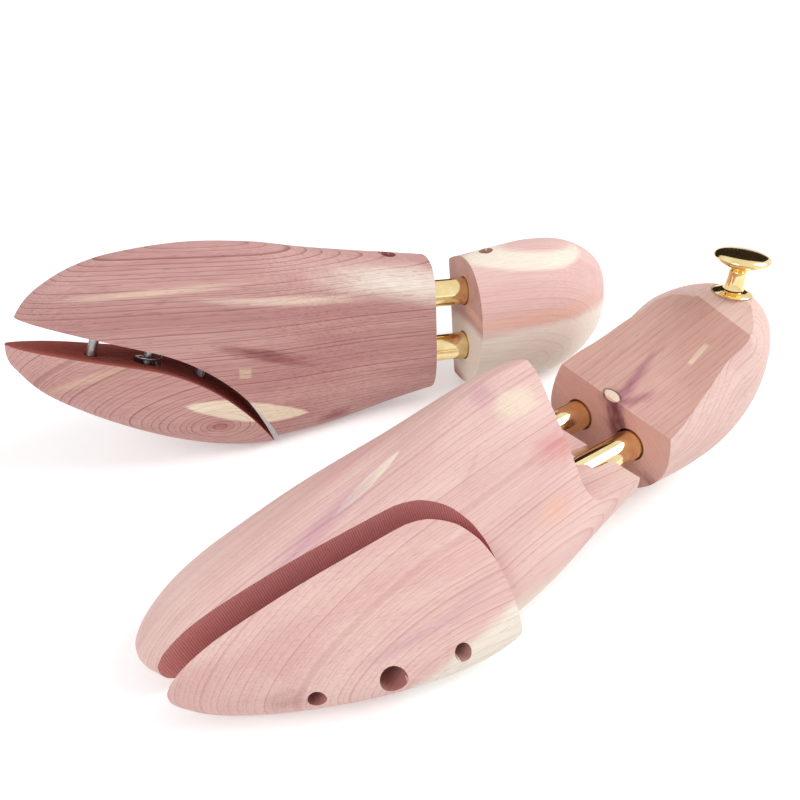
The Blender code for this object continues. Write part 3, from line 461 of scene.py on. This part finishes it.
# a smooth copy of a solid, in the same place; sharp is the least angle of its edges in degrees
def smoothCopy(nodeName, pieceName, bodyName, slotName, materials, sharp=32, levels=0, flatLeast=0.0):
    side = nodeName.split("_")[0]
    mesh = bpy.data.meshes.new(pieceName)
    shape = bmesh.new()
    shape.from_mesh(frame["nodes"][nodeName].data)
    bmesh.ops.remove_doubles(shape, verts=shape.verts, dist=cutValues["merge"])
    shape.normal_update()
    flats = flatFaces(shape, side, flatLeast) if flatLeast else set()
    crease = shape.edges.layers.float.new("crease_edge")
    for edge in shape.edges:
        angle = edge.calc_face_angle(0.0)
        bordersFlat = len([face for face in edge.link_faces if face in flats]) == 1
        if angle > math.radians(sharp) or (bordersFlat and angle > cutValues["flatEdge"]):
            edge.smooth = False
            edge[crease] = 1.0
    if len(materials) > 1:
        markCuts(shape, nodeName, side, flats)
    for face in shape.faces:
        face.smooth = True
    bmesh.ops.join_triangles(shape, faces=shape.faces, cmp_sharp=True, cmp_materials=True,
                             angle_face_threshold=cutValues["quadBend"],
                             angle_shape_threshold=cutValues["quadSkew"])
    shape.to_mesh(mesh)
    shape.free()
    for material in materials:
        mesh.materials.append(material)
    piece = bpy.data.objects.new(pieceName, mesh)
    bpy.context.scene.collection.objects.link(piece)
    if levels:
        subdivision = piece.modifiers.new("evenSurface", "SUBSURF")
        subdivision.levels = levels
        subdivision.render_levels = levels
    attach(piece, bodyName)
    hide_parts(nodeName)
    return piece


# the wood of each piece: its growth rings, its colours and the marks seen in it
leftToe = {
    "middle": (0.02, -0.06, 0.03), "outward": (0, 1, 0.25), "along": (1, 0.03, 0.13),
    "pithDepth": 0.03, "ringWidth": 0.0016, "wobble": 0.009, "seed": 3.0,
    "pale": (238, 207, 198), "deep": (222, 180, 174), "line": (196, 144, 142), "lineStrength": 0.48,
    "fibreStrength": 0.13, "fleckStrength": 0.22, "roughness": 0.5,
    # the kerf's colours are partly painted shade of the gap, the bore colour is painted shade in the holes
    "kerfShadePale": (232, 160, 156), "kerfShadeDeep": (194, 112, 110), "boreShadeColour": (164, 88, 84),
    "patches": [
        # the narrow pale lens beside the kerf
        {"at": (0.004, -0.0122, 0.0495), "along": (0.0266, 0.003, 0.0101), "reach": (0.03, 0.0021, 0.03),
         "colour": (244, 229, 208), "soft": 0.06, "ragged": 0.06, "pointed": 0.8, "cream": True},
        # the cream spot on the crest
        {"at": (0.0593, -0.0235, 0.0655), "along": (1, -0.3, 0.2), "reach": (0.011, 0.007, 0.008),
         "colour": (240, 222, 200), "soft": 0.6, "ragged": 0.6, "strength": 0.9, "cream": True},
        # a mauve spot in front of it
        {"at": (0.05, -0.015, 0.068), "along": (1, 0, 0.2), "reach": (0.008, 0.006, 0.008),
         "colour": (206, 158, 172), "soft": 0.9, "ragged": 0.6, "strength": 0.6},
        # paler wood low at the back
        {"at": (0.1, -0.05, 0.02), "along": (1, 0, 0.2), "reach": (0.045, 0.03, 0.018),
         "colour": (232, 206, 190), "soft": 0.95, "ragged": 0.6, "strength": 0.6, "cream": True},
        # cream wood along the outer edge of the sole
        {"at": (0.03, -0.07, -0.006), "along": (1, 0, 0.2), "reach": (0.075, 0.03, 0.03),
         "colour": (240, 229, 212), "soft": 0.3, "ragged": 0.25, "strength": 0.85, "cream": True},
        # a rosy streak in front of the saddle
        {"at": (0.0672, -0.0389, 0.052), "along": (1, 0, 0), "reach": (0.02, 0.014, 0.006),
         "colour": (212, 128, 128), "soft": 0.9, "ragged": 0.8, "strength": 0.6},
        # a peach spot below it
        {"at": (0.0551, -0.0504, 0.0377), "along": (1, 0, 0.3), "reach": (0.011, 0.008, 0.008),
         "colour": (240, 186, 160), "soft": 0.95, "ragged": 0.8, "strength": 0.45},
        # a faint streak above the kerf's end
        {"at": (0.0335, -0.0299, 0.0515), "along": (1, 0.5, 0.2), "reach": (0.014, 0.0016, 0.01),
         "colour": (206, 158, 160), "soft": 0.9, "ragged": 0.6, "strength": 0.3},
        # the mauve streak along the toe
        {"at": (-0.014, -0.014, 0.043), "along": (1, 0.1, 0.35), "reach": (0.045, 0.005, 0.02),
         "colour": (200, 148, 166), "soft": 0.95, "ragged": 1.0, "strength": 0.6},
        # a pink streak above it
        {"at": (0.005, 0.002, 0.055), "along": (1, 0.05, 0.35), "reach": (0.05, 0.006, 0.02),
         "colour": (222, 160, 160), "soft": 0.95, "ragged": 1.0, "strength": 0.6},
    ],
}
leftSplit = {
    "middle": (0.015, -0.066, 0.004), "outward": (0, -1, 0), "along": (0.986, 0.4015, -0.06),
    "grain": (1, -0.12, 0.06), "pithDepth": 0.0, "ringWidth": 0.0016, "wobble": 0.003, "seed": 11.0,
    "pale": (238, 205, 195), "deep": (222, 178, 172), "line": (196, 146, 148), "lineStrength": 0.46,
    "fibreStrength": 0.22, "fleckStrength": 0.3, "roughness": 0.5,
    # the kerf's colours are partly painted shade of the gap, the bore colour is painted shade in the holes
    "kerfShadePale": (232, 160, 156), "kerfShadeDeep": (194, 112, 110), "boreShadeColour": (164, 88, 84),
    "patches": [
        # cream wood at its low back corner
        {"at": (0.03, -0.07, -0.006), "along": (1, 0, 0.2), "reach": (0.075, 0.03, 0.034),
         "colour": (242, 234, 219), "soft": 0.14, "ragged": 0.14, "cream": True},
        # a mauve streak over the holes
        {"at": (-0.015, -0.06, 0.024), "along": (1, -0.1, 0.2), "reach": (0.055, 0.012, 0.004),
         "colour": (204, 156, 170), "soft": 0.9, "ragged": 0.9, "strength": 0.5},
        # a reddish shade near the tip
        {"at": (-0.0495, -0.045, 0.012), "along": (1, -0.3, 0.1), "reach": (0.012, 0.01, 0.007),
         "colour": (176, 112, 112), "soft": 0.95, "ragged": 0.8, "strength": 0.5},
    ],
}
leftHeel = {
    "middle": (0.15, 0.0, 0.03), "outward": (0, -0.5, 1), "along": (1, -0.06, 0.37),
    "pithDepth": 0.12, "ringWidth": 0.0013, "wobble": 0.004, "seed": 23.0,
    "pale": (241, 213, 204), "deep": (224, 185, 176), "line": (200, 150, 146), "lineStrength": 0.34,
    # its bore colour is painted shade inside the holes
    "fibreStrength": 0.25, "fleckStrength": 0.4, "roughness": 0.5, "boreShadeColour": (150, 86, 78),
    "facetPale": (219, 179, 165), "facetDeep": (203, 157, 145),
    "patches": [
        # the short pale dash on the sloping cut
        {"at": (0.158, -0.0305, 0.0528), "along": (0.0103, 0.0011, 0.004), "reach": (0.0074, 0.0012, 0.003),
         "colour": (236, 210, 184), "soft": 0.25, "ragged": 0.12, "square": 1.0, "cream": True},
        # a darker middle of the cut
        {"at": (0.168, -0.02, 0.057), "along": (1, 0.03, 0.37), "reach": (0.03, 0.022, 0.006),
         "colour": (196, 148, 134), "soft": 0.9, "ragged": 0.6, "strength": 0.5},
        # the paler end of the cut, below the knob
        {"at": (0.2015, -0.0172, 0.066), "along": (0.0315, -0.005, 0), "reach": (0.02, 0.06, 0.03),
         "colour": (238, 208, 197), "soft": 0.03, "ragged": 0.03, "square": 1.0, "strength": 0.8},
        # the front face, painted darker with the cut partly as the shade on this side, and here made a
        # little lighter than the cut
        {"at": (0.1165, -0.02, 0.02), "along": (0, 1, 0.1), "reach": (0.06, 0.0055, 0.05),
         "colour": (226, 180, 172), "soft": 0.3, "ragged": 0.1, "strength": 0.7},
        # a dark shade low on the front
        {"at": (0.117, -0.048, 0.012), "along": (0, 1, 0.3), "reach": (0.016, 0.01, 0.004),
         "colour": (128, 66, 66), "soft": 0.95, "ragged": 0.8, "strength": 0.7},
        # cream wood along the sole
        {"at": (0.17, -0.03, 0.008), "along": (1, 0.1, 0.25), "reach": (0.06, 0.03, 0.014),
         "colour": (245, 238, 226), "soft": 0.5, "ragged": 0.4, "cream": True},
        # a rosy lower end of the cut
        {"at": (0.132, -0.03, 0.042), "along": (1, 0.03, 0.37), "reach": (0.026, 0.02, 0.008),
         "colour": (232, 188, 180), "soft": 0.95, "ragged": 0.8, "strength": 0.55},
        # the long arm of the V mark
        {"at": (0.13, -0.02, 0.042), "along": (1, 0.15, 0.4), "reach": (0.034, 0.0045, 0.006),
         "colour": (158, 92, 116), "soft": 0.95, "ragged": 1.0, "strength": 0.8},
        # its short arm
        {"at": (0.126, -0.027, 0.04), "along": (1, -0.5, 0.35), "reach": (0.014, 0.004, 0.006),
         "colour": (160, 92, 112), "soft": 0.95, "ragged": 0.8, "strength": 0.7},
        # its dark foot, down the front
        {"at": (0.121, -0.024, 0.03), "along": (0, -0.5, -1), "reach": (0.024, 0.006, 0.007),
         "colour": (108, 46, 56), "soft": 0.95, "ragged": 1.2, "strength": 0.95},
        # the rim of the knot's plug
        {"at": (0.1212, -0.0185, 0.0405), "along": (0.2, 1, 0), "reach": (0.0053, 0.0029, 0.0031),
         "colour": (98, 56, 44), "soft": 0.2, "ragged": 0.3, "fineness": 1.2},
        # the knot's pale plug
        {"at": (0.1212, -0.0185, 0.0405), "along": (0.2, 1, 0), "reach": (0.0047, 0.0024, 0.0026),
         "colour": (244, 224, 204), "soft": 0.25, "ragged": 0.3, "fineness": 1.2, "cream": True},
    ],
}
rightToe = {
    "middle": (0.04, 0.085, 0.12), "outward": (0, -0.5, -1), "along": (0.941, -0.335, -0.07),
    "pithDepth": 0.05, "ringWidth": 0.0017, "wobble": 0.004, "seed": 37.0,
    "pale": (215, 172, 165), "deep": (193, 142, 138), "line": (160, 106, 106), "lineStrength": 0.75,
    "fibreStrength": 0.26, "fleckStrength": 0.45, "roughness": 0.5,
    # the kerf's colours are partly painted shade of the gap, the bore colour is painted shade in the holes
    "kerfShadePale": (206, 122, 108), "kerfShadeDeep": (154, 74, 66), "boreShadeColour": (156, 84, 80),
    "patches": [
        # the dark streak in the middle of the sole
        {"at": (0.022, 0.087, 0.046), "along": (0.0514, -0.0174, -0.02), "reach": (0.03, 0.012, 0.0042),
         "colour": (142, 74, 80), "soft": 0.9, "ragged": 1.1, "strength": 0.8},
        # the cream band at the back
        {"at": (0.088, 0.0735, 0.064), "along": (0.0582, -0.0166, -0.0145), "reach": (0.058, 0.02, 0.0115),
         "colour": (252, 242, 229), "soft": 0.75, "ragged": 0.5, "cream": True},
        # its tail towards the toe
        {"at": (0.035, 0.09, 0.067), "along": (0.0582, -0.0166, -0.011), "reach": (0.05, 0.02, 0.0028),
         "colour": (240, 216, 200), "soft": 0.8, "ragged": 0.6, "cream": True},
        # its thin end
        {"at": (-0.018, 0.104, 0.0785), "along": (0.061, -0.0222, -0.0026), "reach": (0.05, 0.02, 0.0022),
         "colour": (238, 208, 190), "soft": 0.8, "ragged": 0.6, "cream": True},
        # the small pale square
        {"at": (0.0103, 0.087, 0.0407), "along": (0.94, -0.33, -0.1), "reach": (0.003, 0.01, 0.0026),
         "colour": (228, 202, 176), "soft": 0.35, "ragged": 0.4, "square": 1.0, "strength": 0.75,
         "cream": True},
        # the cream lens beside the kerf
        {"at": (0.01, 0.085, 0.0226), "along": (0.0503, -0.0129, -0.0142), "reach": (0.047, 0.05, 0.0054),
         "colour": (252, 236, 210), "soft": 0.04, "ragged": 0.05, "pointed": 0.8, "cream": True},
        # a dark shade behind the kerf's end
        {"at": (0.0479, 0.0774, 0.0085), "along": (0.94, -0.33, 0), "reach": (0.012, 0.012, 0.006),
         "colour": (150, 82, 86), "soft": 0.95, "ragged": 0.9, "strength": 0.75},
    ],
}
rightSplit = {
    "middle": (-0.004, 0.088, 0.0186), "outward": (-0.36, -0.93, -0.06), "along": (1, 0.14, -0.0134),
    "grain": (0.941, -0.335, -0.047), "pithDepth": 0.0, "ringWidth": 0.0015, "wobble": 0.0018, "seed": 5.0,
    "pale": (217, 173, 165), "deep": (200, 150, 144), "line": (158, 104, 106), "lineStrength": 0.8,
    "fibreStrength": 0.22, "fleckStrength": 0.4, "roughness": 0.5,
    # the kerf's colours are partly painted shade of the gap, the bore colour is painted shade in the holes
    "kerfShadePale": (206, 122, 108), "kerfShadeDeep": (154, 74, 66), "boreShadeColour": (156, 84, 80),
    "patches": [
        # the lens's part on this half
        {"at": (0.008, 0.085, 0.0239), "along": (0.0503, -0.0129, -0.0142), "reach": (0.047, 0.05, 0.0054),
         "colour": (252, 236, 210), "soft": 0.04, "ragged": 0.05, "pointed": 0.8, "cream": True},
        # the pale wedge near the tip
        {"at": (-0.046, 0.11, 0.0485), "along": (0.89, -0.32, 0.22), "reach": (0.026, 0.03, 0.0026),
         "colour": (226, 192, 168), "soft": 0.8, "ragged": 0.5, "strength": 0.7, "cream": True},
        # the dark eye of the rings
        {"at": (-0.004, 0.088, 0.0186), "along": (0.94, -0.33, 0), "reach": (0.009, 0.01, 0.0042),
         "colour": (168, 104, 98), "soft": 0.95, "ragged": 0.9, "strength": 0.7},
    ],
}
rightHeel = {
    "middle": (0.15, 0.06, 0.06), "outward": (0, 0.85, 0.5), "along": (0.941, -0.335, -0.047),
    "pithDepth": 0.14, "ringWidth": 0.0018, "wobble": 0.003, "seed": 51.0,
    "pale": (237, 205, 198), "deep": (225, 183, 177), "line": (206, 158, 156), "lineStrength": 0.35,
    # its bore colour is painted shade inside the holes
    "fibreStrength": 0.2, "fleckStrength": 0.2, "roughness": 0.5, "boreShadeColour": (170, 104, 92),
    "facetPale": (210, 168, 156), "facetDeep": (190, 142, 130),
    "patches": [
        # the cream arc near the top
        {"at": (0.148, 0.06, 0.0655), "along": (0.0323, -0.0148, -0.0033), "reach": (0.07, 0.03, 0.0035),
         "colour": (246, 236, 220), "soft": 0.5, "ragged": 0.4, "cream": True},
        # the cream lower part
        {"at": (0.145, 0.045, 0.022), "along": (0.94, -0.335, -0.02), "reach": (0.08, 0.06, 0.0205),
         "colour": (243, 235, 222), "soft": 0.24, "ragged": 0.25, "cream": True},
        # a peach line between the two woods
        {"at": (0.145, 0.052, 0.0435), "along": (0.94, -0.335, -0.02), "reach": (0.08, 0.03, 0.0045),
         "colour": (238, 190, 168), "soft": 0.8, "ragged": 0.7, "strength": 0.7},
    ],
}
woodLooks = {
    "left": {"fixed_forepart": leftToe, "split_forepart": leftSplit, "heel_block": leftHeel},
    "right": {"fixed_forepart": rightToe, "split_forepart": rightSplit, "heel_block": rightHeel},
}
woodValues = {"levels": 2, "flatLeast": 0.0008}  # a flat of the wood has at least 8 square centimetres
for side, looks in woodLooks.items():
    bodies = {"fixed_forepart": "fixed_parts", "split_forepart": side + "_split",
              "heel_block": side + "_heel"}
    for part, look in looks.items():
        node = side + "_" + part
        lastCut = "facet" if part == "heel_block" else "kerf"
        finishes = [cedarMaterial(node + "_cedar", look, "outside"),
                    cedarMaterial(node + "_bore_shade", look, "bore"),
                    cedarMaterial(node + "_" + lastCut, look, lastCut)]
        smoothCopy(node, node + "_wood", bodies[part], "cedar", finishes, **woodValues)
print("wood pieces made")

brassLook = {
    "bright": (246, 226, 174), "dull": (232, 202, 142), "roughness": 0.07, "roughnessSpread": 0.05,
    "blotchSize": 120.0, "scratch": (60, 300, 300), "bump": 0.25, "relief": 0.000002,
}
tubeSeam = {"angle": 0.5, "width": 0.05, "colour": (70, 42, 20), "roughness": 0.5}  # angles in radians


def middleOf(nodeName):
    corners = frame["nodes"][nodeName].data.vertices
    return sum((corner.co for corner in corners), Vector()) / len(corners)


for side in treeSides:
    for part in ("medial_tube", "lateral_tube"):
        node = side + "_" + part
        look = dict(brassLook, seam=dict(tubeSeam, at=middleOf(node), along=lengthOf[side]))
        smoothCopy(node, node + "_plated", side + "_heel", "brass", [metalMaterial(node + "_brass", look)],
                   sharp=30, levels=2)

knobBrass = metalMaterial("knob_brass", brassLook)
for side in treeSides:
    for part, ending in (("_knob", "_knob_turned"), ("_knob_flange", "_knob_rosette")):
        smoothCopy(side + part, side + ending, side + "_heel", "brass", [knobBrass], sharp=40, levels=2)
print("brass pieces made")

steelLook = {
    "bright": (196, 196, 198), "dull": (150, 150, 154), "roughness": 0.28, "roughnessSpread": 0.15,
    "blotchSize": 300.0, "scratch": (900, 900, 900), "bump": 0.25, "relief": 0.00003,
}
drawnSteel = metalMaterial("drawn_steel", steelLook)
for side in treeSides:
    for part, body in (("front_guide_pin", "fixed_parts"), ("rear_guide_pin", "fixed_parts"),
                       ("tie_bolt", "fixed_parts"), ("bolt_washer", side + "_split"),
                       ("fore_cross_pin", "fixed_parts"), ("heel_cross_pin", side + "_heel"),
                       ("knob_stud", side + "_heel")):
        node = side + "_" + part
        smoothCopy(node, node + "_steel", body, "steel", [drawnSteel])


# a spring is a smooth copy of its solid, with a mesh of its own
def springPiece(node, body):
    piece = smoothCopy(node, node + "_wire", body, "steel", [drawnSteel], sharp=80)
    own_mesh(piece)


for side in treeSides:
    springPiece(side + "_split_spring", side + "_split")
    springPiece(side + "_medial_spring", side + "_heel")
    springPiece(side + "_lateral_spring", side + "_heel")
print("steel pieces made")

nylonLook = {
    "pale": (226, 224, 214), "deep": (206, 203, 192), "grainSize": 700.0,
    "roughness": 0.4, "roughnessSpread": 0.15, "bump": 0.3, "relief": 0.00003,
}


def nylonMaterial(name, look):
    material, shader = newMaterial(name)
    tree = material.node_tree
    grain = noise(tree, objectPlace(tree), look["grainSize"], 2.0)[0]
    colour = mixColour(tree, grain, tone(*look["pale"]), tone(*look["deep"]))
    rough = maths(tree, "MULTIPLY_ADD", grain, look["roughnessSpread"], look["roughness"])
    tree.links.new(colour, shader.inputs["Base Color"])
    tree.links.new(rough, shader.inputs["Roughness"])
    addBump(tree, shader, grain, look["bump"], look["relief"])
    return material


# the small inner parts keep their solids and only take a material
nylon = nylonMaterial("moulded_nylon", nylonLook)
innerParts = {"_medial_spring_plug": nylon, "_lateral_spring_plug": nylon, "_medial_spring_seat": nylon,
              "_lateral_spring_seat": nylon, "_tie_insert": knobBrass}
for side in treeSides:
    for part, material in innerParts.items():
        for slot in frame["nodes"][side + part].material_slots:
            slot.material = material
print("nylon pieces and inserts finished")


# white where the camera, a reflection or a view through something sees it
def seenRays(tree):
    path = addNode(tree, "ShaderNodeLightPath").outputs
    mirrored = maths(tree, "MAXIMUM", path["Is Glossy Ray"], path["Is Transmission Ray"])
    return maths(tree, "MAXIMUM", path["Is Camera Ray"], mirrored)


# the floor's paper glows a little more with distance, so that its far end meets the white behind it
floorLook = {
    "size": 6.0, "gap": 0.0002, "colour": (0.9, 0.9, 0.9, 1), "roughness": 0.9, "specular": 0.1,
    "near": 0.5, "far": 2.2, "nearGlow": 0.3, "farGlow": 0.5,
}


def makeFloor(name, look):
    mesh = bpy.data.meshes.new(name)
    shape = bmesh.new()
    bmesh.ops.create_grid(shape, x_segments=1, y_segments=1, size=look["size"])
    bmesh.ops.translate(shape, verts=shape.verts, vec=(0, 0, cadBox[0].z - look["gap"]))
    shape.to_mesh(mesh)
    shape.free()
    floor = bpy.data.objects.new(name, mesh)
    bpy.context.scene.collection.objects.link(floor)
    material, shader = newMaterial("floor_paper")
    tree = material.node_tree
    shader.inputs["Base Color"].default_value = look["colour"]
    shader.inputs["Roughness"].default_value = look["roughness"]
    shader.inputs["Specular IOR Level"].default_value = look["specular"]
    away = vectorLength(tree, objectPlace(tree))
    level = fade(tree, away, look["near"], look["far"], look["nearGlow"], look["farGlow"])
    strength = maths(tree, "MULTIPLY", seenRays(tree), level)
    glow = addNode(tree, "ShaderNodeEmission", {"Color": (1, 1, 1, 1), "Strength": strength})
    both = addNode(tree, "ShaderNodeAddShader", {0: shader.outputs[0], 1: glow.outputs[0]})
    output = next(node for node in tree.nodes if node.type == "OUTPUT_MATERIAL")
    tree.links.new(both.outputs[0], output.inputs["Surface"])
    mesh.materials.append(material)


# a dark board behind the trees that only the brass reflects
flagLook = {
    "place": (0.9, 1.0, 0.62), "target": (0.1, 0.0, 0.05), "width": 2.2, "height": 0.75,
    "colour": (50, 40, 32),
}


def darkFlag(name, look):
    mesh = bpy.data.meshes.new(name)
    shape = bmesh.new()
    bmesh.ops.create_grid(shape, x_segments=1, y_segments=1, size=0.5)
    bmesh.ops.scale(shape, verts=shape.verts, vec=(look["width"], look["height"], 1))
    facing = Vector(look["target"]) - Vector(look["place"])
    bmesh.ops.rotate(shape, verts=shape.verts, matrix=facing.to_track_quat("Z", "Y").to_matrix())
    bmesh.ops.translate(shape, verts=shape.verts, vec=look["place"])
    shape.to_mesh(mesh)
    shape.free()
    flag = bpy.data.objects.new(name, mesh)
    bpy.context.scene.collection.objects.link(flag)
    flag.visible_camera = False
    flag.visible_diffuse = False
    flag.visible_shadow = False
    material, shader = newMaterial(name)
    shader.inputs["Base Color"].default_value = tone(*look["colour"])
    shader.inputs["Roughness"].default_value = 1.0
    shader.inputs["Specular IOR Level"].default_value = 0.0
    mesh.materials.append(material)


lampLooks = {
    "key_lamp": {"place": (1.35, -0.7, 1.3), "target": (0.03, 0.02, 0.03), "size": 1.2, "watts": 20.0},
    "fill_lamp": {"place": (-1.3, -0.2, 1.1), "target": (0.03, 0.02, 0.03), "size": 1.0, "watts": 8.0},
}


def areaLamp(name, look):
    lamp = bpy.data.lights.new(name, "AREA")
    lamp.shape = "DISK"
    lamp.size = look["size"]
    lamp.energy = look["watts"]
    holder = bpy.data.objects.new(name, lamp)
    bpy.context.scene.collection.objects.link(holder)
    facing = Vector(look["target"]) - Vector(look["place"])
    holder.location = look["place"]
    holder.rotation_euler = facing.to_track_quat("-Z", "Y").to_euler()


skyLook = {"colour": (1, 1, 1, 1), "level": 0.62}


# the world lights the trees at its level and shows plain white
def makeWorld(name, look):
    world = bpy.data.worlds.new(name)
    world.use_nodes = True
    bpy.context.scene.world = world
    sky = world.node_tree
    background = next(node for node in sky.nodes if node.type == "BACKGROUND")
    background.inputs["Color"].default_value = look["colour"]
    strength = maths(sky, "MULTIPLY_ADD", seenRays(sky), 1 - look["level"], look["level"])
    sky.links.new(strength, background.inputs["Strength"])


cameraLook = {
    "place": (-0.106243, -0.175204, 0.212510), "towards": (0.503891, 0.663618, -0.552905),
    "lens": 34.65, "sensor": 36.0, "near": 0.01,
}


def makeCamera(name, look):
    camera = bpy.data.cameras.new(name)
    camera.lens = look["lens"]
    camera.sensor_width = look["sensor"]
    camera.clip_start = look["near"]
    holder = bpy.data.objects.new(name, camera)
    bpy.context.scene.collection.objects.link(holder)
    towards = Vector(look["towards"]).normalized()
    right = towards.cross(Vector((0, 0, 1))).normalized()
    holder.rotation_euler = Matrix((right, right.cross(towards), -towards)).transposed().to_euler()
    holder.location = look["place"]
    bpy.context.scene.camera = holder


makeFloor("studio_floor", floorLook)
for lampName, lampLook in lampLooks.items():
    areaLamp(lampName, lampLook)
darkFlag("back_flag", flagLook)
makeWorld("studio", skyLook)
makeCamera("photo_camera", cameraLook)
bpy.context.scene.view_settings.view_transform = "Standard"
print("floor, light and camera set")
